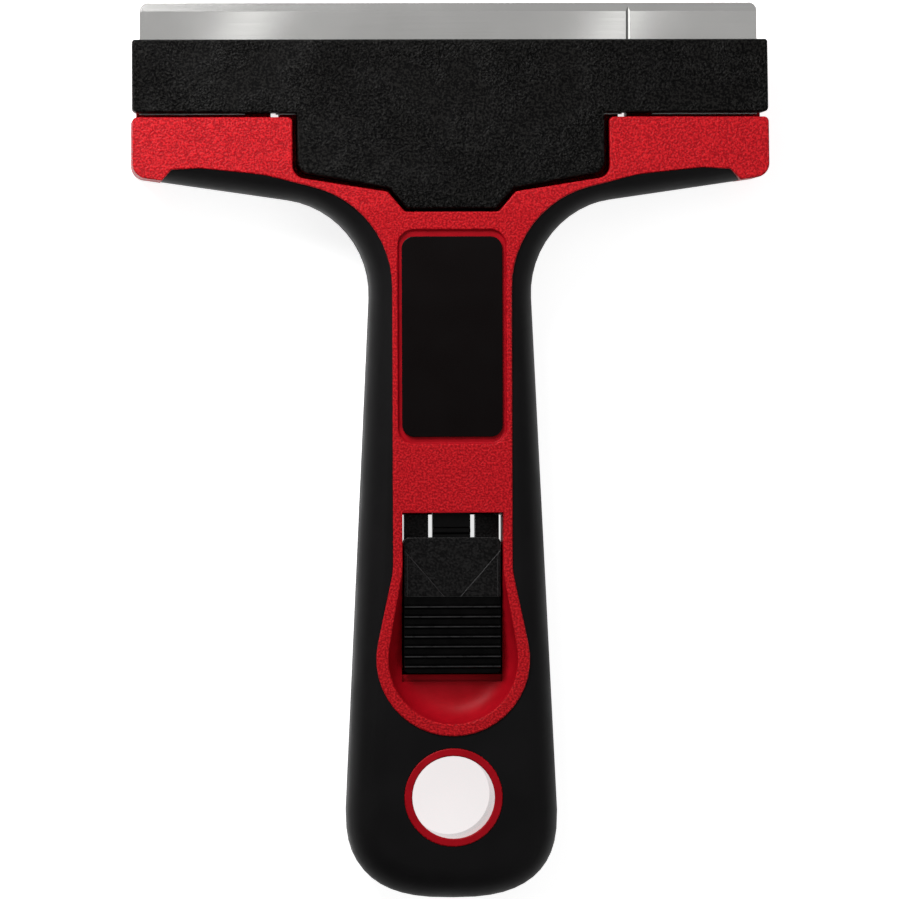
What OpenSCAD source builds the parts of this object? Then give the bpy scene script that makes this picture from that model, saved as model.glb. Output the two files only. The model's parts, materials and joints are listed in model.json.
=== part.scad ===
// Wide razor blade scraper with a sprung clamp jaw.
// It lies on its back: +Z is the front face, +Y points to the blade's edge, X runs along the blade.
// The origin is on the back plane, in the middle of the length and the width.

/* [Overall] */
// Length from the blade's edge to the handle's end
overall_l = 147; // [140:0.5:155]
// Height of the front face over the back face
body_h = 17; // [16.5:0.1:18]
// Height of the plane where the two shells meet
part_z = 8.5; // [8.2:0.1:8.9]
// Wall over the lever and round its room
wall = 1.6; // [1.4:0.1:1.7]
// Thickness of the back wall
floor_t = 2; // [1.5:0.1:2.5]

/* [Blade] */
// Width of the blade
blade_w = 101.6; // [96:0.1:103]
// Depth of the blade from its edge to its back
blade_l = 18.4; // [17:0.1:18.6]
// Thickness of the blade
blade_t = 0.5; // [0.3:0.05:0.7]
// Length of blade in front of the jaw
blade_out = 6.2; // [5:0.1:7]
// Radius of the blade's front corners
blade_corner_r = 1.3; // [0.5:0.1:2]
// Length of the ground edge
blade_grind_l = 1.4; // [0.8:0.1:2]
// Width of the open notches in the blade's back
blade_notch_w = 5; // [4:0.1:6]
// Depth of the notches
blade_notch_l = 4.6; // [3.5:0.1:5.5]
// Distance between the notches
blade_notch_pitch = 62; // [56:1:66]
// Distance of the score line from the blade's middle
score_x = 29.6; // [20:0.1:40]
// Width of the score line
score_w = 0.7; // [0.4:0.05:1]

/* [Jaw] */
// Step from the wings' sides to the jaw's sides
jaw_side = 0.05; // [0:0.05:0.5]
// Length of the jaw's wide band
jaw_band_l = 12; // [11:0.1:13]
// Height of the jaw's face at its front edge
jaw_front_h = 13.2; // [12:0.1:14.5]
// Width of the block behind the band
block_w = 50.4; // [46:0.1:54]
// Length of the block's sides
block_l = 9.8; // [9:0.1:10.5]
// Radius of the block's outer corners
block_r = 2.2; // [1:0.1:3]
// Drop of the block's slanted back
shoulder_l = 2.7; // [2.5:0.1:3.6]
// Width of the tail where it leaves the block
tail_root_w = 20.2; // [18:0.1:22]
// Width of the tail's end
tail_w = 14.6; // [13.5:0.1:16]
// Length of the tail
tail_l = 3.3; // [2.5:0.1:3.4]
// Gap round the jaw
jaw_gap = 0.8; // [0.6:0.05:0.9]
// Length of the lip that presses the blade
lip_l = 6; // [4:0.1:7]

/* [Head] */
// Width over the two wings
head_w = 104.4; // [100:0.1:106]
// Length of a wing at its outer side
wing_l = 9.7; // [9:0.1:10.5]
// Radius of the wings' rear corners
wing_r = 2.4; // [1.5:0.1:3]
// Height of the blade's bed
bed_z = 7; // [6.6:0.1:7.4]
// Length of the bed that the jaw hides in front
bed_back = 1; // [0.6:0.1:2]
// Length of the sloped underside of the bed
toe_l = 13.2; // [11:0.1:14]
// Thickness of the bed at its front
toe_t = 1.1; // [0.9:0.1:1.6]

/* [Handle] */
// Width of the neck
neck_w = 25.1; // [25:0.1:28]
// Drop of the head's rear edge from the wing's corner to the neck
flare_drop = 5.75; // [5:0.05:6.5]
// Radius between the neck and the head
flare_r = 15.6; // [12:0.1:16]
// Greatest width of the handle
handle_w = 34.5; // [32:0.1:38]
// Length of the rounded end
end_l = 14.3; // [12:0.1:16]
// Width of the round edge of the grips
crown_w = 5; // [4:0.1:5.5]
// Depth of the grip on the front
crown_h = 5; // [4:0.1:5.5]
// Depth of the grip on the back
rear_crown_h = 4; // [3:0.1:4.5]
// Thickness of the grip at the sides
grip_lip = 1.2; // [0.9:0.1:1.5]
// Thickness of the flange that carries a grip
flange_t = 4.5; // [3.5:0.1:4.8]

/* [Core] */
// Width of the red middle
core_w = 19.6; // [19.6:0.1:20.6]
// Radius between the middle and the wings
core_flare_r = 17; // [15:0.1:18]
// Radius of the teardrop
drop_r = 12.6; // [12:0.1:13]
// Distance from the handle's end to the teardrop's centre
drop_back = 39.2; // [38.5:0.1:40]
// Length of the teardrop's straight flanks
drop_l = 14.5; // [13:0.1:16]
// Width of the rim round the scoop
rim_w = 2; // [1.6:0.1:2.2]
// Depth of the thumb scoop
scoop_h = 4.8; // [4.2:0.1:5]
// Width of the scoop's sloped wall
scoop_slope_w = 4; // [3:0.1:4.4]

/* [Hang hole] */
// Radius of the hang hole
hang_r = 6.75; // [5.5:0.05:7]
// Wall of the ring round the hang hole
hang_wall = 1.35; // [1:0.05:1.6]
// Distance from the handle's end to the hang hole
hang_back = 16.6; // [16:0.1:17.4]

/* [Label] */
// Width of the label plate
label_w = 16.5; // [14:0.1:16.8]
// Distance from the jaw's tail to the label
label_front_gap = 4.6; // [3.5:0.1:8]
// Distance from the label to the button's window
label_back_gap = 12.4; // [8:0.1:16]
// Thickness of the label plate
label_t = 0.5; // [0.3:0.05:0.6]
// Radius of the label's corners
label_r = 2; // [1:0.1:3]
// Depth of the label's recess
recess_h = 0.6; // [0.6:0.05:0.8]

/* [Lever] */
// Distance from the jaw's tail to the pivot
pivot_drop = 6.5; // [5.5:0.1:8]
// Height of the pivot
pivot_z = 12; // [11.8:0.1:12.1]
// Radius of the pivot pin
pin_r = 1.25; // [1:0.05:1.4]
// Length of the pivot pin
pin_l = 17; // [16:0.1:18]
// Radius of the lever's hub
hub_r = 2.5; // [2.3:0.05:2.6]
// Width of the lever arm
arm_w = 12; // [10:0.1:12.2]
// Thickness of the lever arm
arm_t = 3; // [2.4:0.1:3.2]
// Height of the arm's underside
arm_z = 9.3; // [9:0.1:9.5]
// Width of the arm where it enters the button
tongue_w = 6.2; // [5:0.1:7]

/* [Button] */
// Width of the button
button_w = 15.8; // [14.5:0.1:15.9]
// Length of the button
button_l = 22.2; // [21:0.1:22.6]
// Height of the button's smooth top
button_h = 15.6; // [15:0.1:16.2]
// Length of the smooth top
button_top_l = 9.7; // [9:0.1:10.5]
// Distance between ribs
rib_pitch = 1.63; // [1.5:0.01:1.7]
// Height of a rib
rib_h = 0.9; // [0.5:0.05:1]
// Number of ribs
rib_count = 7; // [5:1:7]
// Width of the button's window
window_w = 16.5; // [16.3:0.1:16.8]
// Length of the button's window
window_l = 26.6; // [26:0.1:27]
// Distance from the handle's end to the window
window_back = 36.6; // [36.2:0.1:37]
// Length of the opening in the back under the window's front
vent_l = 5; // [3:0.1:7]

/* [Spring] */
// Radius of the coil at the middle of the wire
coil_r = 2.9; // [2.6:0.05:3.2]
// Diameter of the wire
wire_d = 0.8; // [0.6:0.05:0.9]
// Number of turns
coil_turns = 5; // [4:1:6]

/* [Screws] */
// Radius of a shell screw's shank
screw_r = 1.3; // [1.1:0.05:1.5]
// Radius of a shell screw's head
screw_head_r = 2.4; // [2:0.05:2.6]
// Height of a shell screw's head
screw_head_h = 1.8; // [1.4:0.05:2]
// Height that a shell screw's tip reaches
screw_top_z = 12; // [11:0.1:12.4]
// Radius of a lever screw's shank
lever_screw_r = 1; // [0.8:0.05:1.1]
// Radius of a lever screw's head
lever_head_r = 1.8; // [1.6:0.05:2]
// Height of a lever screw's head
lever_head_h = 1.2; // [1:0.05:1.4]

/* [Hidden] */

// Smoothness of round faces, and steps of an outline's arcs
$fn = 64;
arc_steps = 12;
crown_steps = 7;
wire_sides = 6;
turn_steps = 8;
half_turn = 180;
quarter_turn = 90;

// Overrun of cuts, play of fits and the size of the half spaces that cut slopes
over = 0.5;
fit = 0.02;
pin_play = 0.05;
slip = 0.3;
reach = 2 * overall_l;

// Places along the length
edge_y = overall_l / 2;
end_y = -overall_l / 2;
jaw_front_y = edge_y - blade_out;
band_y = jaw_front_y - jaw_band_l;
wing_y = band_y - jaw_gap;
wing_rear_y = wing_y - wing_l;
flare_y = wing_rear_y - flare_drop;
block_y = band_y - block_l;
tail_root_y = block_y - shoulder_l;
tail_y = tail_root_y - tail_l;
blade_back_y = edge_y - blade_l;
bed_front_y = jaw_front_y - bed_back;
toe_y = bed_front_y - toe_l;
hang_y = end_y + hang_back;
pivot_y = tail_y - pivot_drop;
window_y = end_y + window_back;
window_top_y = window_y + window_l;
button_y = window_y + slip;
button_top_y = button_y + button_l;
drop_y = end_y + drop_back;
drop_top_y = drop_y + drop_l;
label_front_y = tail_y - label_front_gap;
label_back_y = window_top_y + label_back_gap;
label_l = label_front_y - label_back_y;
label_y = (label_front_y + label_back_y) / 2;
slope_y = tail_y;
jaw_w = head_w - 2 * jaw_side;

// Angles of the head's sloped faces
face_angle = atan2(body_h - jaw_front_h, jaw_front_y - slope_y);
toe_angle = atan2(bed_z - toe_t, toe_l);

// The grip's arm under a wing: its tip, peak and middle, and their rise over the wing's corner
arm_tip_back = 6.4;
arm_peak_share = 0.87;
arm_mid_share = 0.58;
arm_tip_x = head_w / 2 - arm_tip_back;
arm_peak_x = core_w / 2 + arm_peak_share * (arm_tip_x - core_w / 2);
arm_mid_x = core_w / 2 + arm_mid_share * (arm_tip_x - core_w / 2);
arm_tip_rise = 1.1;
arm_peak_rise = 1.3;
arm_mid_rise = 0.2;
arm_tip_r = 0.5;
arm_peak_r = 10;
arm_mid_r = 20;
tip_end_w = 1.6;
grip_span = 2 * (arm_tip_x + tip_end_w);
core_rise = 0.75;
wing_front_r = 0.8;
rear_gap_share = 0.7;
drop_blend_r = 12;

// The handle's end is a superellipse of this power
end_power = 2.65;

// Shell rooms and seats
hub_play = 0.6;
room_w = arm_w + 2 * hub_play;
roof_z = body_h - recess_h - wall;
pin_seat = (pin_l - room_w) / 2;
room_front_y = block_y + slip;
jaw_z = bed_z + blade_t;
relief_h = 0.3;
pin_slot_w = 2 * pin_r + 2 * pin_play;
boss_top_z = body_h - slip;
hang_ring_r = hang_r + hang_wall;
grip_rear_z = 0.5;
grip_front_z = body_h - slip;
bed_w = jaw_w - 2 * jaw_gap;
peg_r = blade_notch_w / 2 - slip;
peg_y = blade_back_y + blade_notch_l - blade_notch_w / 2;
vent_side = 0.6;
vent_front_gap = 0.5;
grit_slot_gap = 2.6;
grit_slot_w = 1.4;
grit_slot_x = block_w / 2 + jaw_gap + grit_slot_gap;
score_h = 0.15;
sill_l = 1.15;
sill_h = 0.4;
recess_margin_w = 0.6;
recess_margin_l = 1.1;

// Pockets that core the wings on both sides of the wing screws
pocket_wall = 2;
pocket_roof = 2.4;
wing_screw_x = (block_w + head_w) / 4;
boss_r = 3.8;

// Shell screws: two in the wings, two in the shoulders, one behind the scoop
shoulder_screw_x = 10.6;
shoulder_screw_drop = 1.6;
end_screw_back = 7.2;
screw_sink = 0.4;
screw_slot_w = 0.7;
screw_slot_share = 0.65;
screw_slot_h = 0.9;
screw_places = [
    [wing_screw_x, wing_y - wing_l / 2], [-wing_screw_x, wing_y - wing_l / 2],
    [shoulder_screw_x, tail_y - shoulder_screw_drop], [-shoulder_screw_x, tail_y - shoulder_screw_drop],
    [0, drop_y - end_screw_back]
];

// Lever screws: two under the jaw's block, one under the button
jaw_screw_x = 3.4;
jaw_screw_drop = 2.4;
button_screw_drop = 5.4;
lever_screw_bite = 2.1;
arm_front_drop = 0.6;
tongue_l = 9.6;
crimp_l = 0.9;
crimp_h = 0.5;
crimp_gap = 0.7;
neck_taper_l = 6;
lever_places = [
    [jaw_screw_x, block_y - jaw_screw_drop], [-jaw_screw_x, block_y - jaw_screw_drop],
    [0, button_top_y - button_screw_drop]
];
arm_top_z = arm_z + arm_t;

// Button
button_wall = 1.4;
button_roof = 1.6;
button_fall = 0.5;
button_edge_r = 0.8;
rail_h = 0.15;
rail_w = 0.5;
field_h = 0.45;
field_end_w = 2.6;
field_drop = 2.1;
rib_share = 0.55;
crest_share = 0.12;
ear_gap = 0.75;
ear_side = 0.15;
ear_front_gap = 0.3;
ear_h = 3.6;
rib_base_z = button_h - button_fall - rib_h;
spring_top_z = rib_base_z - button_roof;
rib_first_y = button_top_y - button_top_l - rib_pitch;

// Spring
spring_y = (button_y + button_wall + button_top_y - tongue_l) / 2;
spring_post_r = coil_r - wire_d / 2 - slip;
spring_post_h = 2;

// Shades of the pieces
red = [0.72, 0.08, 0.10];
black = [0.06, 0.06, 0.07];
soft_black = [0.03, 0.03, 0.03];
steel = [0.70, 0.70, 0.70];

// Outline tools: points with a corner radius as third value become arcs, a half outline is mirrored

function unit(v) = v / norm(v);

function corner_arc(a, b, c, r) =
    let (
        u = unit(a - b),
        v = unit(c - b),
        half = acos(u * v) / 2,
        middle = b + unit(u + v) * r / sin(half),
        first = b + u * r / tan(half) - middle,
        last = b + v * r / tan(half) - middle,
        turn = atan2(first.x * last.y - first.y * last.x, first * last),
        start = atan2(first.y, first.x)
    )
    [
        for (i = [0 : arc_steps])
            let (angle = start + turn * i / arc_steps)
            middle + r * [cos(angle), sin(angle)]
    ];

function flat(p) = [p.x, p.y];

function rounded(points) = [
    for (i = [0 : len(points) - 1])
        let (
            a = flat(points[(i + len(points) - 1) % len(points)]),
            b = flat(points[i]),
            c = flat(points[(i + 1) % len(points)])
        )
        each (points[i].z > 0 ? corner_arc(a, b, c, points[i].z) : [b])
];

function both_sides(half) = concat(
    half,
    [for (i = [len(half) - 1 : -1 : 0]) if (half[i].x > 0) [-half[i].x, half[i].y, half[i].z]]
);

function inset(points, distance) = [
    for (i = [0 : len(points) - 1])
        let (
            a = points[(i + len(points) - 1) % len(points)],
            b = points[i],
            c = points[(i + 1) % len(points)],
            before = unit(b - a),
            after = unit(c - b),
            normal = [before.y, -before.x],
            middle = unit(normal + [after.y, -after.x])
        )
        b + middle * distance / (middle * normal)
];

function arc(middle, r, start, stop) = [
    for (i = [0 : arc_steps])
        let (angle = start + (stop - start) * i / arc_steps)
        [middle.x + r * cos(angle), middle.y + r * sin(angle), 0]
];

// Outlines of the pieces, clockwise from the front

function under_y(x) =
    flare_y + (x - neck_w / 2) * (wing_rear_y - flare_y) / (head_w / 2 - neck_w / 2);

handle_end = [
    for (i = [0 : arc_steps])
        let (angle = quarter_turn * i / arc_steps)
        [
            handle_w / 2 * pow(cos(angle), 2 / end_power),
            end_y + end_l - end_l * pow(sin(angle), 2 / end_power),
            0
        ]
];

// The grip's outline runs on past the wings, so that its round edge ends inside them
grip_outline = rounded(both_sides(concat(
    [
        [head_w / 2 + 2 * crown_w, wing_y + 2 * crown_w, 0],
        [head_w / 2 + 2 * crown_w, under_y(head_w / 2 + 2 * crown_w), 0],
        [neck_w / 2, flare_y, flare_r]
    ],
    handle_end
)));

function teardrop(r, half_w, top_y) =
    let (
        corner = [half_w, drop_top_y] - [0, drop_y],
        touch = atan2(corner.y, corner.x) - acos(r / norm(corner))
    )
    concat(
        [[half_w, top_y, 0], [half_w, drop_top_y, drop_blend_r]],
        arc([0, drop_y], r, touch, -quarter_turn)
    );

core_outline = rounded(both_sides(concat(
    [
        [head_w / 2, wing_y, wing_front_r],
        [head_w / 2, wing_rear_y, wing_r],
        [grip_span / 2, under_y(grip_span / 2), 0],
        [arm_tip_x, wing_rear_y + arm_tip_rise, arm_tip_r],
        [arm_peak_x, wing_rear_y + arm_peak_rise, arm_peak_r],
        [arm_mid_x, wing_rear_y + arm_mid_rise, arm_mid_r],
        [core_w / 2, flare_y + core_rise, core_flare_r]
    ],
    [for (p = teardrop(drop_r, core_w / 2, drop_top_y)) if (p.z > 0 || p.y < drop_top_y) p]
)));

scoop_outline = rounded(both_sides(teardrop(drop_r - rim_w, window_w / 2, window_top_y - jaw_gap)));

function jaw_half(gap, front_y, band_w) = [
    [band_w / 2, front_y, 0],
    [band_w / 2, band_y - gap, gap > 0 ? 0 : wing_front_r],
    [block_w / 2 + gap, band_y - gap, gap > 0 ? wing_front_r : 0],
    [block_w / 2 + gap, block_y - gap, block_r],
    [tail_root_w / 2 + gap / 2, tail_root_y - rear_gap_share * gap, block_r / 2],
    [tail_w / 2 + gap / 2, tail_y - rear_gap_share * gap, gap > 0 ? gap : over]
];

jaw_outline = rounded(both_sides(jaw_half(0, jaw_front_y, jaw_w)));
notch_outline = rounded(both_sides(jaw_half(jaw_gap, edge_y, head_w + 2 * over)));

function plate_outline(w, l, r, y) = rounded(both_sides([[w / 2, y + l / 2, r], [w / 2, y - l / 2, r]]));

// Solids that several pieces share

module prism(outline, low, high) {
    translate([0, 0, low])
        linear_extrude(high - low)
            polygon(outline);
}

module slab(w, back, front, low, high) {
    translate([-w / 2, back, low])
        cube([w, front - back, high - low]);
}

// A flat end of a loft: strips from the right half of a ring to its left half, facing up
function cap(first, count) = [
    for (i = [0 : ceil(count / 2) - 2])
        let (
            a = first + i,
            b = first + i + 1,
            c = first + count - 2 - i,
            d = first + count - 1 - i
        )
        each (b == c ? [[a, c, d]] : [[a, b, c], [a, c, d]])
];

// Rings of an inset outline, each at its own height, closed with flat ends
module loft(outline, levels) {
    count = len(outline);
    rings = [for (level = levels) inset(outline, level[1])];
    points = [for (k = [0 : len(levels) - 1]) for (p = rings[k]) [p.x, p.y, levels[k][0]]];
    sides = [
        for (k = [0 : len(levels) - 2])
            for (i = [0 : count - 1])
                let (
                    a = k * count + i,
                    b = k * count + (i + 1) % count
                )
                each [[a, b, b + count], [a, b + count, a + count]]
    ];
    bottom = [for (t = cap(0, count)) [t[2], t[1], t[0]]];
    top = cap((len(levels) - 1) * count, count);
    polyhedron(points, concat(bottom, top, sides));
}

// The flange inside a grip, which joins it to its shell
module flange(low, high) {
    intersection() {
        prism(inset(grip_outline, grip_lip), low, high);
        slab(grip_span, end_y, wing_y - over, low, high);
    }
}

// A grip: its round body, cut short at the arms' tips, without the shell's core, flange and hang tube
module grip(levels, low, high, flange_low, flange_high) {
    difference() {
        intersection() {
            loft(grip_outline, levels);
            slab(grip_span - fit, end_y - over, wing_y - over, low - over, high + over);
        }
        prism(core_outline, low - over, high + over);
        flange(flange_low, flange_high);
        hang_cylinder(hang_ring_r + fit, low - over, high + over);
    }
}

// Everything over the head's sloped front face
module over_face() {
    translate([0, slope_y, body_h])
        rotate([-face_angle, 0, 0])
            slab(reach, 0, reach, 0, reach);
}

// Everything under the bed's sloped underside
module under_toe() {
    translate([0, toe_y, 0])
        rotate([toe_angle, 0, 0])
            slab(reach, 0, reach, -reach, 0);
}

module wing_pockets(low, high) {
    back = wing_rear_y + pocket_wall;
    front = wing_y - pocket_wall;
    inner = block_w / 2 + jaw_gap + pocket_wall;
    outer = head_w / 2 - pocket_wall;
    for (side = [0, 1])
        mirror([side, 0, 0]) {
            translate([inner, back, low])
                cube([wing_screw_x - boss_r - inner, front - back, high - low]);
            translate([wing_screw_x + boss_r, back, low])
                cube([outer - wing_screw_x - boss_r, front - back, high - low]);
        }
}

module screw_holes(r, low, high) {
    for (place = screw_places)
        translate([place.x, place.y, low])
            cylinder(r = r, h = high - low);
}

module hang_cylinder(r, low, high) {
    translate([0, hang_y, low])
        cylinder(r = r, h = high - low);
}

module cross_pin(r, l) {
    translate([-l / 2, pivot_y, pivot_z])
        rotate([0, quarter_turn, 0])
            cylinder(r = r, h = l);
}

// A pan-head screw with a cross recess, its head's outer face at the origin, its tip up
module screw(head_r, head_h, shank_r, l) {
    difference() {
        union() {
            cylinder(r = head_r, h = head_h);
            cylinder(r = shank_r, h = l);
        }
        for (turn = [0, quarter_turn])
            rotate(turn)
                slab(
                    2 * head_r * screw_slot_share, -screw_slot_w / 2, screw_slot_w / 2,
                    -over, screw_slot_h
                );
    }
}

// Handle pieces

module front_shell() {
    color(red)
        difference() {
            union() {
                prism(core_outline, part_z, body_h);
                flange(part_z, part_z + flange_t);
            }
            over_face();
            prism(notch_outline, part_z - over, body_h + over);
            slab(room_w, window_top_y - over, room_front_y, part_z - over, roof_z);
            slab(window_w, window_y, window_top_y, part_z - over, body_h + over);
            loft(scoop_outline, scoop_levels());
            slab(window_w, window_y - sill_l, window_y + over, body_h - scoop_h - sill_h, body_h + over);
            prism(
                plate_outline(
                    label_w + 2 * recess_margin_w, label_l + 2 * recess_margin_l,
                    label_r + recess_margin_w, label_y
                ),
                body_h - recess_h, body_h + over
            );
            slab(
                pin_l + 2 * pin_play, pivot_y - pin_slot_w / 2, pivot_y + pin_slot_w / 2,
                part_z - over, pivot_z
            );
            cross_pin(pin_slot_w / 2, pin_l + 2 * pin_play);
            hang_cylinder(hang_ring_r + fit, part_z - over, body_h);
            screw_holes(screw_r + fit, part_z - over, screw_top_z + fit);
            wing_pockets(part_z - over, jaw_front_h - fit);
        }
}

// Heights and insets of the bowl, from its floor to over the face
function scoop_levels() = concat(
    [
        for (i = [crown_steps : -1 : 0])
            let (angle = quarter_turn * i / crown_steps)
            [body_h - scoop_h * sin(angle), scoop_slope_w * (1 - cos(angle))]
    ],
    [[body_h + over, 0]]
);

module rear_shell() {
    color(red)
        difference() {
            union() {
                difference() {
                    union() {
                        prism(core_outline, 0, part_z);
                        flange(part_z - flange_t, part_z);
                        slab(bed_w, wing_y - wing_l / 2, bed_front_y, 0, part_z);
                    }
                    prism(notch_outline, bed_z, part_z + over);
                    slab(room_w, window_top_y - over, room_front_y, floor_t, part_z + over);
                    slab(window_w, window_y, window_top_y, floor_t, part_z + over);
                    slab(
                        window_w + 2 * vent_side, window_top_y - vent_l, window_top_y - vent_front_gap,
                        -over, part_z + over
                    );
                    grit_slots();
                    wing_pockets(pocket_roof, part_z + over);
                }
                hang_cylinder(hang_ring_r, 0, boss_top_z);
                pin_posts();
                translate([0, spring_y, floor_t - fit])
                    cylinder(r = spring_post_r, h = spring_post_h + fit);
                for (side = [-1, 1])
                    translate([side * blade_notch_pitch / 2, peg_y, bed_z - fit])
                        cylinder(r = peg_r, h = blade_t);
            }
            under_toe();
            cross_pin(pin_slot_w / 2, pin_l + 2 * pin_play);
            hang_cylinder(hang_r, -over, boss_top_z + over);
            screw_holes(screw_r + pin_play, -over, part_z + over);
            screw_holes(screw_head_r + pin_play, -over, screw_sink + screw_head_h);
        }
}

// Two slots through the bed behind the blade
module grit_slots() {
    for (side = [-1, 1])
        translate([side * grit_slot_x, 0, 0])
            slab(grit_slot_w, wing_y - slip, blade_back_y + over, -over, part_z + over);
}

// Two saddles that carry the pin's ends from below
module pin_posts() {
    for (side = [0, 1])
        mirror([side, 0, 0])
            translate([pin_l / 2 - pin_seat, pivot_y - pin_r, floor_t])
                cube([pin_seat, 2 * pin_r, pivot_z - pin_r / 2 - floor_t]);
}

module front_grip() {
    low = grip_front_z - crown_h;
    levels = concat(
        [[part_z, 0]],
        [
            for (i = [0 : crown_steps])
                let (angle = quarter_turn * i / crown_steps)
                [low + crown_h * sin(angle), crown_w * (1 - cos(angle))]
        ]
    );
    color(soft_black)
        difference() {
            grip(levels, part_z, body_h, part_z - over, part_z + flange_t);
            prism(notch_outline, part_z - over, body_h + over);
        }
}

module rear_grip() {
    high = grip_rear_z + rear_crown_h;
    levels = concat(
        [
            for (i = [crown_steps : -1 : 0])
                let (angle = quarter_turn * i / crown_steps)
                [high - rear_crown_h * sin(angle), crown_w * (1 - cos(angle))]
        ],
        [[part_z, 0]]
    );
    color(soft_black)
        grip(levels, 0, part_z, part_z - flange_t, part_z + over);
}

module label_plate() {
    color(black)
        prism(
            plate_outline(label_w, label_l, label_r, label_y),
            body_h - recess_h, body_h - recess_h + label_t
        );
}

module shell_screws() {
    color(steel)
        for (place = screw_places)
            translate([place.x, place.y, screw_sink])
                screw(screw_head_r, screw_head_h, screw_r, screw_top_z - screw_sink);
}

module pivot_pin() {
    color(steel)
        cross_pin(pin_r, pin_l);
}

// The wire's middle climbs steadily, and each ring of points stands square to the turn
module return_spring() {
    low = floor_t + wire_d / 2;
    high = spring_top_z - wire_d / 2 - slip;
    rings = coil_turns * turn_steps;
    points = [
        for (k = [0 : rings])
            let (
                turn = 2 * half_turn * k / turn_steps,
                z = low + (high - low) * k / rings
            )
            for (i = [0 : wire_sides - 1])
                let (
                    side = 2 * half_turn * i / wire_sides,
                    r = coil_r + wire_d / 2 * cos(side)
                )
                [r * cos(turn), spring_y + r * sin(turn), z + wire_d / 2 * sin(side)]
    ];
    sides = [
        for (k = [0 : rings - 1])
            for (i = [0 : wire_sides - 1])
                let (
                    a = k * wire_sides + i,
                    b = k * wire_sides + (i + 1) % wire_sides
                )
                each [[a, b + wire_sides, b], [a, a + wire_sides, b + wire_sides]]
    ];
    last = rings * wire_sides;
    start = [for (i = [1 : wire_sides - 2]) [0, i, i + 1]];
    stop = [for (i = [1 : wire_sides - 2]) [last, last + i + 1, last + i]];
    color(steel)
        polyhedron(points, concat(start, stop, sides));
}

// Lever pieces

module clamp_jaw() {
    pocket_front_y = jaw_front_y - lip_l;
    pocket_inner = block_w / 2 - pocket_wall;
    pocket_outer = jaw_w / 2 - pocket_wall;
    color(black)
        difference() {
            prism(jaw_outline, jaw_z, body_h);
            over_face();
            slab(reach, tail_y - over, pocket_front_y, jaw_z - over, jaw_z + relief_h);
            slab(arm_w + 2 * fit, tail_y - over, block_y - arm_front_drop + fit, jaw_z - over, arm_top_z);
            for (side = [0, 1])
                mirror([side, 0, 0])
                    translate([pocket_inner, band_y + pocket_wall, jaw_z - over])
                        cube([
                            pocket_outer - pocket_inner, pocket_front_y - band_y - 2 * pocket_wall,
                            jaw_front_h - pocket_roof - jaw_z + over
                        ]);
            lever_holes(lever_screw_r + fit, arm_top_z - over, arm_top_z + lever_screw_bite + fit);
        }
}

module lever_holes(r, low, high) {
    for (place = lever_places)
        translate([place.x, place.y, low])
            cylinder(r = r, h = high - low);
}

module lever_arm() {
    front_y = block_y - arm_front_drop;
    tongue_y = button_top_y - tongue_l;
    taper_y = window_top_y;
    outline = both_sides([
        [arm_w / 2, front_y],
        [arm_w / 2, taper_y + neck_taper_l],
        [tongue_w / 2, taper_y],
        [tongue_w / 2, tongue_y]
    ]);
    color(steel)
        difference() {
            union() {
                prism([for (p = outline) flat(p)], arm_z, arm_top_z);
                cross_pin(hub_r, arm_w);
                slab(
                    tongue_w, button_top_y + crimp_gap, button_top_y + crimp_gap + crimp_l,
                    arm_top_z - fit, arm_top_z + crimp_h
                );
            }
            cross_pin(pin_r + pin_play, arm_w + 2 * over);
            lever_holes(lever_screw_r + fit, arm_z - over, arm_top_z + over);
        }
}

module thumb_button() {
    step_y = button_top_y - button_top_l;
    color(black)
        difference() {
            union() {
                intersection() {
                    prism(
                        plate_outline(button_w, button_l, button_edge_r, (button_y + button_top_y) / 2),
                        arm_z, button_h
                    );
                    button_profile(step_y);
                }
                button_ears();
                for (i = [0 : rib_count - 1])
                    rib(rib_first_y - i * rib_pitch);
            }
            field_cuts(step_y);
            slab(
                button_w - 2 * button_wall, button_y + button_wall, button_top_y - tongue_l,
                arm_z - over, spring_top_z
            );
            slab(
                tongue_w + 2 * fit, button_top_y - tongue_l - over, button_top_y + over,
                arm_z - over, arm_top_z
            );
            lever_holes(lever_screw_r + fit, arm_top_z - over, arm_top_z + lever_screw_bite + fit);
        }
}

// A rib across the whole button, with a narrow crest
module rib(y) {
    rib_w = rib_pitch * rib_share;
    crest_w = rib_pitch * crest_share;
    l = button_w - 2 * fit;
    translate([-l / 2, y, rib_base_z])
        rotate([quarter_turn, 0, quarter_turn])
            linear_extrude(l)
                polygon([
                    [-rib_w / 2, -fit],
                    [rib_w / 2, -fit],
                    [crest_w / 2, rib_h],
                    [-crest_w / 2, rib_h]
                ]);
}

// Two low ears beside the lever's tongue fill the window in front of the button
module button_ears() {
    inner = tongue_w / 2 + ear_gap;
    outer = button_w / 2 - ear_side;
    back = button_top_y - button_edge_r;
    for (side = [0, 1])
        mirror([side, 0, 0])
            translate([inner, back, arm_z])
                cube([outer - inner, window_top_y - ear_front_gap - back, ear_h]);
}

// The button seen from the side: a smooth top that falls a little, a step, and the base of the ribs
module button_profile(step_y) {
    translate([-button_w, 0, 0])
        rotate([quarter_turn, 0, quarter_turn])
            linear_extrude(2 * button_w)
                polygon([
                    [button_y, arm_z],
                    [button_top_y, arm_z],
                    [button_top_y, button_h],
                    [step_y, button_h - button_fall],
                    [step_y, rib_base_z],
                    [button_y, rib_base_z]
                ]);
}

// Everything over a plane that lies under the smooth top by the given depth
module over_top(step_y, depth) {
    translate([-button_w, 0, 0])
        rotate([quarter_turn, 0, quarter_turn])
            linear_extrude(2 * button_w)
                polygon([
                    [step_y - over, button_h - button_fall - depth],
                    [step_y, button_h - button_fall - depth],
                    [button_top_y, button_h - depth],
                    [button_top_y + over, button_h - depth],
                    [button_top_y + over, body_h],
                    [step_y - over, body_h]
                ]);
}

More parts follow.
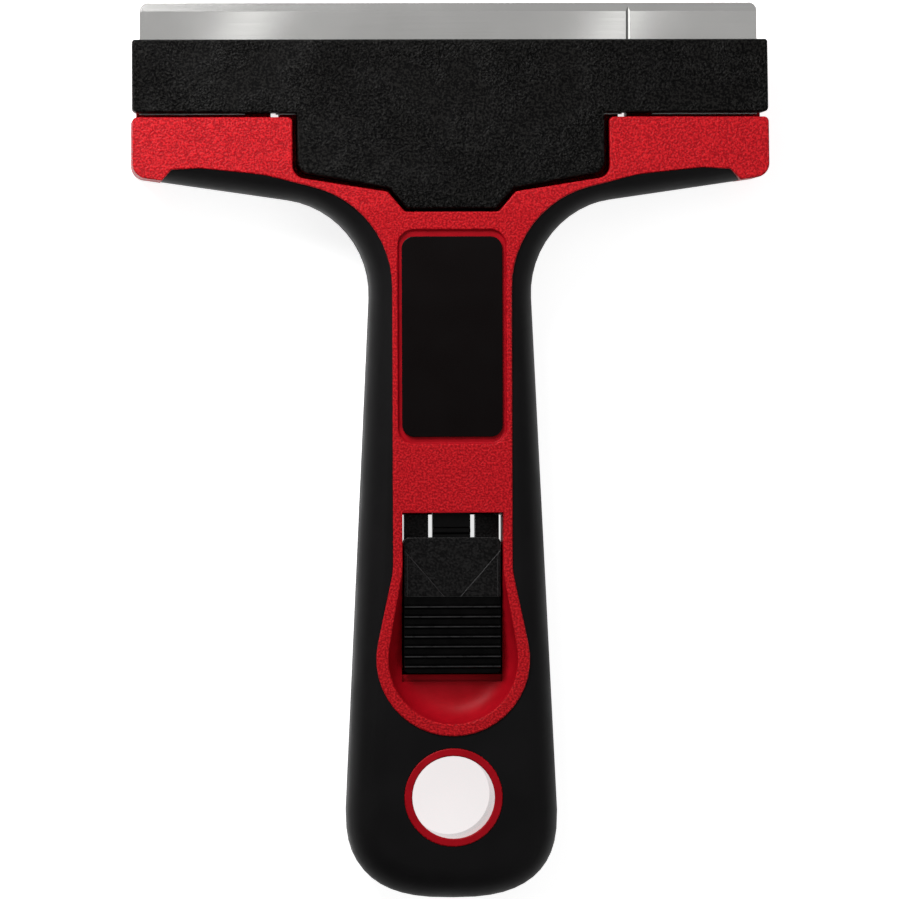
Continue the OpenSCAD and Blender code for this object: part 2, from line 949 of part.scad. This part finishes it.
// The smooth top has a rail along each side and a lowered field that points at the ribs
module field_cuts(step_y) {
    field = [
        [button_w / 2 + over, button_top_y + over],
        [button_w / 2 + over, button_top_y - field_drop],
        [button_w / 2, button_top_y - field_drop],
        [field_end_w / 2, step_y],
        [field_end_w / 2, step_y - over]
    ];
    intersection() {
        slab(button_w - 2 * rail_w, step_y - over, button_top_y - field_drop, arm_top_z, body_h);
        over_top(step_y, rail_h);
    }
    intersection() {
        prism([for (p = both_sides(field)) flat(p)], arm_top_z, body_h);
        over_top(step_y, field_h);
    }
}

module lever_screws() {
    color(steel)
        for (place = lever_places)
            translate([place.x, place.y, arm_z - lever_head_h])
                screw(lever_head_r, lever_head_h, lever_screw_r, arm_t + lever_head_h + lever_screw_bite);
}

// Blade

module blade() {
    outline = rounded(both_sides([
        [blade_w / 2, edge_y, blade_corner_r],
        [blade_w / 2, blade_back_y, 0]
    ]));
    color(steel)
        difference() {
            intersection() {
                prism(outline, bed_z, bed_z + blade_t);
                blade_profile();
            }
            for (side = [-1, 1])
                translate([side * blade_notch_pitch / 2, 0, 0]) {
                    translate([0, peg_y, bed_z - over])
                        cylinder(r = blade_notch_w / 2, h = blade_t + 2 * over);
                    slab(blade_notch_w, blade_back_y - over, peg_y, bed_z - over, bed_z + blade_t + over);
                }
            score_line();
        }
}

// A scored groove across the blade's front face
module score_line() {
    translate([score_x, edge_y + over, bed_z + blade_t])
        rotate([quarter_turn, 0, 0])
            linear_extrude(blade_l + 2 * over)
                polygon([[-score_w / 2, 0], [0, -score_h], [score_w / 2, 0]]);
}

// The blade seen from the side, with both faces ground to the edge
module blade_profile() {
    translate([-blade_w, 0, bed_z])
        rotate([quarter_turn, 0, quarter_turn])
            linear_extrude(2 * blade_w)
                polygon([
                    [blade_back_y, 0],
                    [edge_y - blade_grind_l, 0],
                    [edge_y, blade_t / 2],
                    [edge_y - blade_grind_l, blade_t],
                    [blade_back_y, blade_t]
                ]);
}

front_shell();
rear_shell();
front_grip();
rear_grip();
label_plate();
shell_screws();
pivot_pin();
return_spring();
clamp_jaw();
lever_arm();
thumb_button();
lever_screws();
blade();
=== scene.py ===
import json
import math

import bmesh
import bpy
from mathutils import Matrix, Vector


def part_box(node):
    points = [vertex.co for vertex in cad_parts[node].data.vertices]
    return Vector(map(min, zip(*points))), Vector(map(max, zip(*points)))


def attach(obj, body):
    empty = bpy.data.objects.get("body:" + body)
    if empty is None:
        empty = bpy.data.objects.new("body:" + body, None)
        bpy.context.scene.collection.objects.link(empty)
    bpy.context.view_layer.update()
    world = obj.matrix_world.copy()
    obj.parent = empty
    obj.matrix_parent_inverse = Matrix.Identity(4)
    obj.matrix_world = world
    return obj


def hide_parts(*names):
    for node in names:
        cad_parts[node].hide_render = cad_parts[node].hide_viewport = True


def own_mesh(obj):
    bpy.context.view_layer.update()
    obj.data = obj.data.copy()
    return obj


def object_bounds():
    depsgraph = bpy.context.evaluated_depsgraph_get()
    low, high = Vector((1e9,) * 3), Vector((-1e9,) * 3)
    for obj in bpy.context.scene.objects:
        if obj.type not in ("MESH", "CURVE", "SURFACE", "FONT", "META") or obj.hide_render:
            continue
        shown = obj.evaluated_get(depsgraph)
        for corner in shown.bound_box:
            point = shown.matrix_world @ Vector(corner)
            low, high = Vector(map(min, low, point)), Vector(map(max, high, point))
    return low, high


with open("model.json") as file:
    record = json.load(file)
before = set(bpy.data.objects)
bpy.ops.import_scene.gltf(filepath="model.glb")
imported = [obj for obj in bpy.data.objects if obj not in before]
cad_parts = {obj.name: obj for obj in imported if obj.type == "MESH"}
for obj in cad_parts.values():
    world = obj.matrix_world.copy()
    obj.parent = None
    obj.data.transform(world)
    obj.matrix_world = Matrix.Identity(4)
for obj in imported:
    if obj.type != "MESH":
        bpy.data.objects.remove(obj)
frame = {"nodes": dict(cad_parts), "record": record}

# The wide razor blade scraper lies on its back on a white table and is seen from above.
# Lengths are in metres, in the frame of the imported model.

CAD_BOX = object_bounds()
MM = 0.001


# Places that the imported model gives

def named(rows, name):
    return next(row for row in rows if row["name"] == name)


JAW_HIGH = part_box("clamp_jaw")[1]
BUTTON_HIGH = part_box("thumb_button")[1]
LABEL_LOW, LABEL_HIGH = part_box("label_plate")
SHELL_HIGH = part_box("front_shell")[1]
BLADE_LOW, BLADE_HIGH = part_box("blade")
HANG_HOLE = named(frame["record"]["mounts"], "hang_hole")


# Meshes

WELD_GAP = 0.002 * MM
FLAT_ANGLE = math.radians(0.5)
SHARP_ANGLE = math.radians(33)
EDGE_SEGMENTS = 3
SAME_FINISH = -1


def placed(name, data):
    """A new object in the scene."""
    thing = bpy.data.objects.new(name, data)
    bpy.context.scene.collection.objects.link(thing)
    return thing


def welded(mesh, clear_flats, sharp_angle):
    """Joins a CAD mesh's split corners, can clear the lines across flats, and shades it smooth.

    The normals stored with the split corners no longer fit the joined ones, so they are dropped.
    """
    if mesh.has_custom_normals:
        mesh.attributes.remove(mesh.attributes["custom_normal"])
    work = bmesh.new()
    work.from_mesh(mesh)
    bmesh.ops.remove_doubles(work, verts=work.verts, dist=WELD_GAP)
    if clear_flats:
        bmesh.ops.dissolve_limit(
            work, angle_limit=FLAT_ANGLE, verts=work.verts, edges=work.edges,
        )
    for face in work.faces:
        face.smooth = True
    work.to_mesh(mesh)
    work.free()
    mesh.set_sharp_from_angle(angle=sharp_angle)


def everywhere(point):
    return True


def mark_edges(mesh, where, sharp_angle):
    """Marks the sharp edges to round: those whose two ends pass the test."""
    work = bmesh.new()
    work.from_mesh(mesh)
    weight = work.edges.layers.float.new("bevel_weight_edge")
    for edge in work.edges:
        sharp = edge.is_manifold and edge.calc_face_angle() > sharp_angle
        if sharp and all(where(corner.co) for corner in edge.verts):
            edge[weight] = 1
    work.to_mesh(mesh)
    work.free()


def dressed(
    node, body, finishes, edge,
    where=everywhere, sharp_angle=SHARP_ANGLE, edge_finish=SAME_FINISH,
):
    """Puts a copy of a CAD node in its place, its sharp edges rounded to a width where asked."""
    mesh = frame["nodes"][node].data.copy()
    welded(mesh, edge > 0, sharp_angle)
    mesh.materials.clear()
    for finish in finishes:
        mesh.materials.append(finish)
    mesh.polygons.foreach_set("material_index", [0] * len(mesh.polygons))
    piece = placed(node + "_dress", mesh)
    if edge:
        mark_edges(mesh, where, sharp_angle)
        bevel = piece.modifiers.new("round_edges", "BEVEL")
        bevel.width = edge
        bevel.segments = EDGE_SEGMENTS
        bevel.limit_method = "WEIGHT"
        bevel.use_clamp_overlap = False
        bevel.loop_slide = False
        bevel.harden_normals = True
        bevel.material = edge_finish
    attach(piece, body)
    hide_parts(node)
    return piece


def other_finish(piece, index, inside):
    """Gives the faces whose middle is inside another of the piece's finishes."""
    for face in piece.data.polygons:
        if inside(face.center):
            face.material_index = index


# Materials

PLAIN_SPECULAR = 0.5
HAZE_RANGE = (0.35, 0.65)
GRAIN_RANGE = (0.3, 0.7)


def middle(first, second):
    return tuple((a + b) / 2 for a, b in zip(first, second))


def shaded(color, share):
    return tuple(share * part for part in color)


class Finish:
    """A material under construction: one shader, with textures in the object's own space."""

    def __init__(self, name, color, roughness, metallic=0, specular=PLAIN_SPECULAR):
        self.material = bpy.data.materials.new(name)
        self.material.use_nodes = True
        self.tree = self.material.node_tree
        self.shader = self.tree.nodes["Principled BSDF"]
        self.shader.inputs["Base Color"].default_value = (*color, 1)
        self.shader.inputs["Roughness"].default_value = roughness
        self.shader.inputs["Metallic"].default_value = metallic
        self.shader.inputs["Specular IOR Level"].default_value = specular
        self.place = self.tree.nodes.new("ShaderNodeTexCoord").outputs["Object"]

    def stretched(self, stretch):
        mapping = self.tree.nodes.new("ShaderNodeMapping")
        mapping.inputs["Scale"].default_value = stretch
        self.tree.links.new(self.place, mapping.inputs["Vector"])
        return mapping.outputs["Vector"]

    def noise(self, size, detail=2.0, stretch=(1, 1, 1), swirl=0.0):
        """Soft noise whose lumps are about size wide, drawn into wrinkles by swirl."""
        node = self.tree.nodes.new("ShaderNodeTexNoise")
        node.inputs["Scale"].default_value = 1 / size
        node.inputs["Detail"].default_value = detail
        node.inputs["Distortion"].default_value = swirl
        self.tree.links.new(self.stretched(stretch), node.inputs["Vector"])
        return node.outputs["Fac"]

    def product(self, first, second):
        node = self.tree.nodes.new("ShaderNodeMath")
        node.operation = "MULTIPLY"
        self.tree.links.new(first, node.inputs[0])
        self.tree.links.new(second, node.inputs[1])
        return node.outputs["Value"]

    def ranged(self, value, span, to_span):
        """Takes a value from one span to another."""
        node = self.tree.nodes.new("ShaderNodeMapRange")
        node.inputs["From Min"].default_value, node.inputs["From Max"].default_value = span
        node.inputs["To Min"].default_value, node.inputs["To Max"].default_value = to_span
        self.tree.links.new(value, node.inputs["Value"])
        return node.outputs["Result"]

    def vary_color(self, value, span, dark, light):
        mix = self.tree.nodes.new("ShaderNodeMix")
        mix.data_type = "RGBA"
        mix.inputs["A"].default_value = (*dark, 1)
        mix.inputs["B"].default_value = (*light, 1)
        self.tree.links.new(self.ranged(value, span, (0, 1)), mix.inputs["Factor"])
        self.tree.links.new(mix.outputs["Result"], self.shader.inputs["Base Color"])

    def vary_roughness(self, value, span, roughness):
        varied = self.ranged(value, span, roughness)
        self.tree.links.new(varied, self.shader.inputs["Roughness"])

    def bump(self, value, depth, under=None):
        """Raises the surface by depth where value is one. The result can carry a finer bump."""
        node = self.tree.nodes.new("ShaderNodeBump")
        node.inputs["Strength"].default_value = 1
        node.inputs["Distance"].default_value = depth
        self.tree.links.new(value, node.inputs["Height"])
        if under:
            self.tree.links.new(under, node.inputs["Normal"])
        self.tree.links.new(node.outputs["Normal"], self.shader.inputs["Normal"])
        return node.outputs["Normal"]


def grained(
    name, dark, light, contrast, grain, depth, roughness,
    detail=2, metallic=0, specular=PLAIN_SPECULAR,
):
    """A finish with a grain of the given width and depth, whose bumps are paler."""
    finish = Finish(name, middle(dark, light), sum(roughness) / 2, metallic, specular)
    bumps = finish.noise(grain, detail)
    finish.vary_color(bumps, contrast, dark, light)
    finish.vary_roughness(bumps, GRAIN_RANGE, roughness)
    finish.bump(bumps, depth)
    return finish.material


def smooth(
    name, dark, light, patch, skin, depth, roughness,
    detail=2, specular=PLAIN_SPECULAR,
):
    """A finish whose colour and gloss drift in soft patches, under a skin of very fine bumps."""
    finish = Finish(name, middle(dark, light), sum(roughness) / 2, specular=specular)
    haze = finish.noise(patch, detail)
    finish.vary_color(haze, HAZE_RANGE, dark, light)
    finish.vary_roughness(haze, HAZE_RANGE, roughness)
    finish.bump(finish.noise(skin), depth)
    return finish.material


# Moulded red plastic, sand-blasted outside, smooth in the hollows, glossy in the hang hole
DEEP_RED = {"dark": (0.35, 0.0025, 0.008), "light": (0.41, 0.003, 0.01)}
GRAINED_RED = grained(
    "grained_red", dark=(0.32, 0.0025, 0.007), light=(0.62, 0.012, 0.018), contrast=(0.4, 0.64),
    grain=0.34 * MM, depth=0.14 * MM, roughness=(0.5, 0.36), detail=1, specular=0.1,
)
SMOOTH_RED = smooth(
    "smooth_red", **DEEP_RED,
    patch=3 * MM, skin=0.3 * MM, depth=0.004 * MM, roughness=(0.42, 0.5), detail=3, specular=0.1,
)
POLISHED_RED = smooth(
    "polished_red", **DEEP_RED,
    patch=3 * MM, skin=0.3 * MM, depth=0.001 * MM, roughness=(0.06, 0.1), detail=3,
)

# Matte soft overmould
SOFT_BLACK = smooth(
    "soft_black", dark=(0.005, 0.0047, 0.005), light=(0.0062, 0.0058, 0.0062),
    patch=9 * MM, skin=0.16 * MM, depth=0.012 * MM, roughness=(0.5, 0.6), specular=0.09,
)

# Satin plate, left blank
LABEL_BLACK = smooth(
    "label_black", dark=(0.0034, 0.0022, 0.0022), light=(0.0038, 0.0026, 0.0026),
    patch=8 * MM, skin=0.2 * MM, depth=0.002 * MM, roughness=(0.26, 0.3), specular=0.1,
)

# Black plastic of the button: grained, smooth on the ribs, glossier along edges and crests, where
# a paler colour is a painted highlight
BUTTON_BLACK = grained(
    "button_black", dark=(0.0006, 0.0005, 0.0006), light=(0.0125, 0.012, 0.012),
    contrast=(0.42, 0.62), grain=0.38 * MM, depth=0.14 * MM, roughness=(0.42, 0.3), specular=0.16,
)
RIB_BLACK = smooth(
    "rib_black", dark=(0.0006, 0.0005, 0.0006), light=(0.001, 0.0009, 0.001),
    patch=2 * MM, skin=0.3 * MM, depth=0.002 * MM, roughness=(0.18, 0.22), specular=0.3,
)
# Glossier black for the button's rounded edges and rib crests; its paler colour there is a
# painted highlight
EDGE_HIGHLIGHT_BLACK = smooth(
    "edge_highlight_black", dark=(0.014, 0.0137, 0.014), light=(0.026, 0.0254, 0.026),
    patch=1.5 * MM, skin=0.3 * MM, depth=0.002 * MM, roughness=(0.26, 0.34),
)

# Black coated steel
LEVER_BLACK = grained(
    "lever_black", dark=(0.003, 0.003, 0.0032), light=(0.006, 0.006, 0.0062),
    contrast=GRAIN_RANGE, grain=0.5 * MM, depth=0.02 * MM, roughness=(0.36, 0.5), detail=3,
    specular=0.2,
)


def bright_steel(name, color, roughness):
    """Plated or drawn steel with a faint mottle."""
    return grained(
        name, dark=shaded(color, 0.88), light=color, contrast=GRAIN_RANGE,
        grain=0.8 * MM, depth=0.006 * MM, roughness=roughness, detail=3, metallic=1,
    )


SCREW_STEEL = bright_steel("screw_steel", (0.5, 0.5, 0.49), (0.4, 0.32))
SPRING_STEEL = bright_steel("spring_steel", (0.55, 0.55, 0.55), (0.33, 0.25))

LEATHER_DARK = (0.0003, 0.0003, 0.0003)
LEATHER_LIGHT = (0.011, 0.0105, 0.0098)
LEATHER_CONTRAST = (0.44, 0.62)
LEATHER_ROUGHNESS = (0.44, 0.26)
LEATHER_SPECULAR = 0.055
WRINKLE = 0.36 * MM
WRINKLE_DEPTH = 0.5 * MM
WRINKLE_DETAIL = 1.5
WRINKLE_SWIRL = 0.35
FADE_PATCH = 11 * MM
FADE_RANGE = (0.38, 0.6)
FADED_AND_FULL = (0.12, 1)
LEATHER_SKIN = 0.22 * MM
LEATHER_SKIN_DEPTH = 0.012 * MM


def leather_black():
    """Black plastic with a moulded leather grain that fades in and out."""
    finish = Finish(
        "leather_black", middle(LEATHER_DARK, LEATHER_LIGHT), sum(LEATHER_ROUGHNESS) / 2,
        specular=LEATHER_SPECULAR,
    )
    wrinkle = finish.noise(WRINKLE, WRINKLE_DETAIL, swirl=WRINKLE_SWIRL)
    fade = finish.ranged(finish.noise(FADE_PATCH), FADE_RANGE, FADED_AND_FULL)
    finish.vary_color(wrinkle, LEATHER_CONTRAST, LEATHER_DARK, LEATHER_LIGHT)
    finish.vary_roughness(wrinkle, GRAIN_RANGE, LEATHER_ROUGHNESS)
    coarse = finish.bump(finish.product(wrinkle, fade), WRINKLE_DEPTH)
    finish.bump(finish.noise(LEATHER_SKIN), LEATHER_SKIN_DEPTH, under=coarse)
    return finish.material


BLADE_COLOR = (0.64, 0.635, 0.62)
GROUND_COLOR = (0.54, 0.536, 0.524)
BLADE_MOTTLE = 0.92
BLADE_ROUGHNESS = (0.15, 0.18)
BLADE_ANISOTROPY = 0.3
BLADE_PATCH = 12 * MM
BRUSH = 0.2 * MM
BRUSH_DEPTH = 0.0003 * MM
BRUSH_DETAIL = 3
BRUSH_STRETCH = (0.01, 1, 1)


def blade_steel(name, color):
    """Spring steel, finely brushed along the blade, so that lights stretch across it."""
    finish = Finish(name, color, sum(BLADE_ROUGHNESS) / 2, metallic=1)
    finish.shader.inputs["Anisotropic"].default_value = BLADE_ANISOTROPY
    tangent = finish.tree.nodes.new("ShaderNodeTangent")
    tangent.direction_type = "UV_MAP"
    finish.tree.links.new(tangent.outputs["Tangent"], finish.shader.inputs["Tangent"])
    brush = finish.noise(BRUSH, BRUSH_DETAIL, BRUSH_STRETCH)
    finish.vary_color(finish.noise(BLADE_PATCH), HAZE_RANGE, shaded(color, BLADE_MOTTLE), color)
    finish.vary_roughness(brush, GRAIN_RANGE, BLADE_ROUGHNESS)
    finish.bump(brush, BRUSH_DEPTH)
    return finish.material


# Pieces of the handle

NO_EDGE = 0
SHELL_EDGE = 0.28 * MM
LABEL_EDGE = 0.14 * MM
SCREW_EDGE = 0.12 * MM
SPRING_EDGE = 0.02 * MM
SKIN = 0.05 * MM
RECESS_MARGIN = 1.2 * MM
FLANGE_TOP = 13.2 * MM
BRIDGE_UNDERSIDE = 14.9 * MM
LIP_BACK = SHELL_HIGH.y + 7 * MM
HANG_HOLE_MIDDLE = Vector(HANG_HOLE["pos_m"])
HANG_HOLE_REACH = (HANG_HOLE["dims"]["r_mm"] + 0.25) * MM


def in_hollow(point):
    """Inside the label's recess, the button's window or the scoop, below the front face."""
    beside = abs(point.x) < LABEL_HIGH.x + RECESS_MARGIN
    around = LABEL_LOW.y - RECESS_MARGIN < point.y < LABEL_HIGH.y + RECESS_MARGIN
    behind = point.y < BUTTON_HIGH.y + RECESS_MARGIN
    return point.z < SHELL_HIGH.z - SKIN and ((beside and around) or behind)


def on_front(point):
    """On the front shell's outside, above the flange and the underside of the bridge."""
    return point.z > BRIDGE_UNDERSIDE


def on_lip(point):
    """On the front lip of the rear shell's bed or on the ring round the hang hole."""
    return point.z > FLANGE_TOP or point.y > LIP_BACK


def on_ring(point):
    """On the end of the tube round the hang hole, which shows in front."""
    return point.z > FLANGE_TOP and point.y < 0


def in_hang_hole(point):
    """On the wall of the hang hole."""
    near = (point - HANG_HOLE_MIDDLE).xy.length < HANG_HOLE_REACH
    return near and SKIN < point.z < FLANGE_TOP


front_shell = dressed(
    "front_shell", "handle", [GRAINED_RED, SMOOTH_RED], SHELL_EDGE, on_front,
)
other_finish(front_shell, 1, in_hollow)
rear_shell = dressed(
    "rear_shell", "handle", [GRAINED_RED, SMOOTH_RED, POLISHED_RED],
    SHELL_EDGE, on_lip,
)
other_finish(rear_shell, 1, on_ring)
other_finish(rear_shell, 2, in_hang_hole)
dressed("front_grip", "handle", [SOFT_BLACK], NO_EDGE)
dressed("rear_grip", "handle", [SOFT_BLACK], NO_EDGE)
dressed("label_plate", "handle", [LABEL_BLACK], LABEL_EDGE)
dressed("shell_screws", "handle", [SCREW_STEEL], SCREW_EDGE)
dressed("pivot_pin", "handle", [SCREW_STEEL], SCREW_EDGE)

# The spring, which shortens as the button comes down, gets a mesh of its own
return_spring = dressed(
    "return_spring", "handle", [SPRING_STEEL], SPRING_EDGE,
)
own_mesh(return_spring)


# Pieces of the lever

JAW_EDGE = 0.45 * MM
LEVER_EDGE = 0.2 * MM
BUTTON_EDGE = 0.07 * MM
JAW_POCKET = 12.6 * MM
JAW_FRONT = JAW_HIGH.y - 1 * MM
RIBS_FRONT = -23.9 * MM
RIB_FLOOR = 14.4 * MM
RIB_CRESTS = 15.05 * MM
STEP_ROOM = 0.3 * MM


def on_jaw_outside(point):
    """On the jaw's top or its front, away from the pocket below that holds the arm."""
    return point.z > JAW_POCKET or point.y > JAW_FRONT


def on_ribs(point):
    """On the ribbed end of the button."""
    return point.y < RIBS_FRONT


def on_rib_crests(point):
    """On the narrow tops of the ribs."""
    return on_ribs(point) and point.z > RIB_CRESTS


def on_button_field(point):
    """On the flat end of the button, with the step down to the ribs."""
    return point.z > RIB_FLOOR and point.y > RIBS_FRONT - STEP_ROOM


dressed(
    "clamp_jaw", "clamp_lever", [leather_black()], JAW_EDGE, on_jaw_outside,
)
dressed("lever_arm", "clamp_lever", [LEVER_BLACK], LEVER_EDGE)
# The button's rounded edges and rib crests take the finish with the painted highlight
thumb_button = dressed(
    "thumb_button", "clamp_lever", [BUTTON_BLACK, RIB_BLACK, EDGE_HIGHLIGHT_BLACK],
    BUTTON_EDGE, on_button_field, edge_finish=2,
)
other_finish(thumb_button, 1, on_ribs)
other_finish(thumb_button, 2, on_rib_crests)
dressed("lever_screws", "clamp_lever", [SCREW_STEEL], SCREW_EDGE)


# Blade

BLADE_EDGE = 0.03 * MM
BLADE_SHARP_ANGLE = math.radians(4)
GROUND_BACK = BLADE_HIGH.y - 1.2 * MM


def flat_map(piece):
    """Maps the piece from above, its first direction across the blade, square to the brushing."""
    layer = piece.data.uv_layers.new(name="across")
    size = BLADE_HIGH - BLADE_LOW
    for loop in piece.data.loops:
        point = piece.data.vertices[loop.vertex_index].co - BLADE_LOW
        layer.data[loop.index].uv = (point.y / size.x, point.x / size.x)


def on_ground_edge(point):
    """On the ground slope along the cutting edge."""
    return point.y > GROUND_BACK


blade = dressed(
    "blade", "blade",
    [blade_steel("blade_steel", BLADE_COLOR), blade_steel("ground_steel", GROUND_COLOR)],
    BLADE_EDGE, sharp_angle=BLADE_SHARP_ANGLE,
)
other_finish(blade, 1, on_ground_edge)
flat_map(blade)


# Table

FLOOR_SIZE = 6.0
FLOOR_DROP = 0.1 * MM
FLOOR_COLOR = (0.8, 0.8, 0.8, 1)
FLOOR_GLOW = 0.8


def white_floor():
    """A white table: what the camera and shiny faces see is lifted to white, and shadows stay."""
    material = bpy.data.materials.new("white_table")
    material.use_nodes = True
    tree = material.node_tree
    tree.nodes.clear()
    diffuse = tree.nodes.new("ShaderNodeBsdfDiffuse")
    diffuse.inputs["Color"].default_value = FLOOR_COLOR
    glow = tree.nodes.new("ShaderNodeEmission")
    glow.inputs["Strength"].default_value = FLOOR_GLOW
    both = tree.nodes.new("ShaderNodeAddShader")
    path = tree.nodes.new("ShaderNodeLightPath")
    seen = tree.nodes.new("ShaderNodeMath")
    seen.operation = "MAXIMUM"
    mix = tree.nodes.new("ShaderNodeMixShader")
    output = tree.nodes.new("ShaderNodeOutputMaterial")
    tree.links.new(diffuse.outputs[0], both.inputs[0])
    tree.links.new(glow.outputs[0], both.inputs[1])
    tree.links.new(path.outputs["Is Camera Ray"], seen.inputs[0])
    tree.links.new(path.outputs["Is Glossy Ray"], seen.inputs[1])
    tree.links.new(seen.outputs[0], mix.inputs[0])
    tree.links.new(diffuse.outputs[0], mix.inputs[1])
    tree.links.new(both.outputs[0], mix.inputs[2])
    tree.links.new(mix.outputs[0], output.inputs["Surface"])
    return material


floor_mesh = bpy.data.meshes.new("table")
reach = FLOOR_SIZE / 2
floor_z = CAD_BOX[0].z - FLOOR_DROP
floor_corners = [(-reach, -reach), (reach, -reach), (reach, reach), (-reach, reach)]
floor_mesh.from_pydata([(x, y, floor_z) for x, y in floor_corners], [], [(0, 1, 2, 3)])
floor_mesh.materials.append(white_floor())
floor = placed("table", floor_mesh)


# Light

def softbox(name, place, target, size, power):
    """A rectangular lamp of the given width and height."""
    lamp = bpy.data.lights.new(name, "AREA")
    lamp.shape = "RECTANGLE"
    lamp.size, lamp.size_y = size
    lamp.energy = power
    holder = placed(name, lamp)
    holder.visible_camera = False
    holder.location = place
    aim = Vector(target) - Vector(place)
    holder.rotation_euler = aim.to_track_quat("-Z", "Y").to_euler()
    return holder


# Name, place, target, width and height, watts
TOOL_MIDDLE = (0, 0.02, 0.01)
SOFTBOXES = [
    ("key", (-0.12, 0.22, 0.2), TOOL_MIDDLE, (0.15, 0.15), 1.0),
    ("fill", (0.55, -0.45, 0.65), TOOL_MIDDLE, (0.5, 0.5), 1.4),
    ("side", (-0.75, 0.07, 0.7), TOOL_MIDDLE, (0.3, 0.3), 0.5),
    ("ceiling", (0.03, 0.28, 0.8), (0.03, 0.28, 0), (0.7, 0.46), 0.58),
]
for row in SOFTBOXES:
    softbox(*row)

# Slim lamps close over the blade, slightly slanted, show in the steel as soft bands
STRIP_FORE = 0.0745
STRIP_HEIGHT = 0.1075
STRIP_SIZE = (0.006, 0.04)
STRIP_SLANT = math.radians(-28)
STRIPS = [("left_strip", -0.0302, 0.0009), ("right_strip", 0.0349, 0.0008)]
for name, side, power in STRIPS:
    below = (side, STRIP_FORE, 0)
    strip = softbox(name, (side, STRIP_FORE, STRIP_HEIGHT), below, STRIP_SIZE, power)
    strip.rotation_euler.z = STRIP_SLANT

HORIZON_LIGHT = 0.28
ZENITH_LIGHT = 0.06


def studio_world():
    """A studio that is pale at the sides and dark overhead."""
    world = bpy.data.worlds.new("studio")
    world.use_nodes = True
    tree = world.node_tree
    background = tree.nodes["Background"]
    background.inputs["Color"].default_value = (1, 1, 1, 1)
    place = tree.nodes.new("ShaderNodeTexCoord")
    direction = tree.nodes.new("ShaderNodeSeparateXYZ")
    fade = tree.nodes.new("ShaderNodeMapRange")
    fade.inputs["To Min"].default_value = HORIZON_LIGHT
    fade.inputs["To Max"].default_value = ZENITH_LIGHT
    tree.links.new(place.outputs["Generated"], direction.inputs[0])
    tree.links.new(direction.outputs["Z"], fade.inputs["Value"])
    tree.links.new(fade.outputs["Result"], background.inputs["Strength"])
    return world


bpy.context.scene.world = studio_world()
bpy.context.scene.view_settings.view_transform = "Standard"


# Camera, which looks straight down from a little to the left, turned with the tool's slight slant

VIEW_WIDTH = 147.75 * MM
LENS = 380
SENSOR = 36
CAMERA_SIDE = -76 * MM
CAMERA_FORE = 8.5 * MM
VIEW_MIDDLE = Vector((-0.06 * MM, 0, BLADE_HIGH.z))
SLANT = math.radians(-0.18)

camera_data = bpy.data.cameras.new("camera")
camera_data.lens = LENS
camera_data.sensor_width = SENSOR
camera = placed("camera", camera_data)
height = VIEW_WIDTH * LENS / SENSOR
turned = Matrix.Rotation(SLANT, 3, "Z")
camera.location = VIEW_MIDDLE + turned @ Vector((CAMERA_SIDE, CAMERA_FORE, height))
camera.rotation_euler = (
    math.atan2(-CAMERA_FORE, height), math.atan2(CAMERA_SIDE, height), SLANT,
)
bpy.context.scene.camera = camera
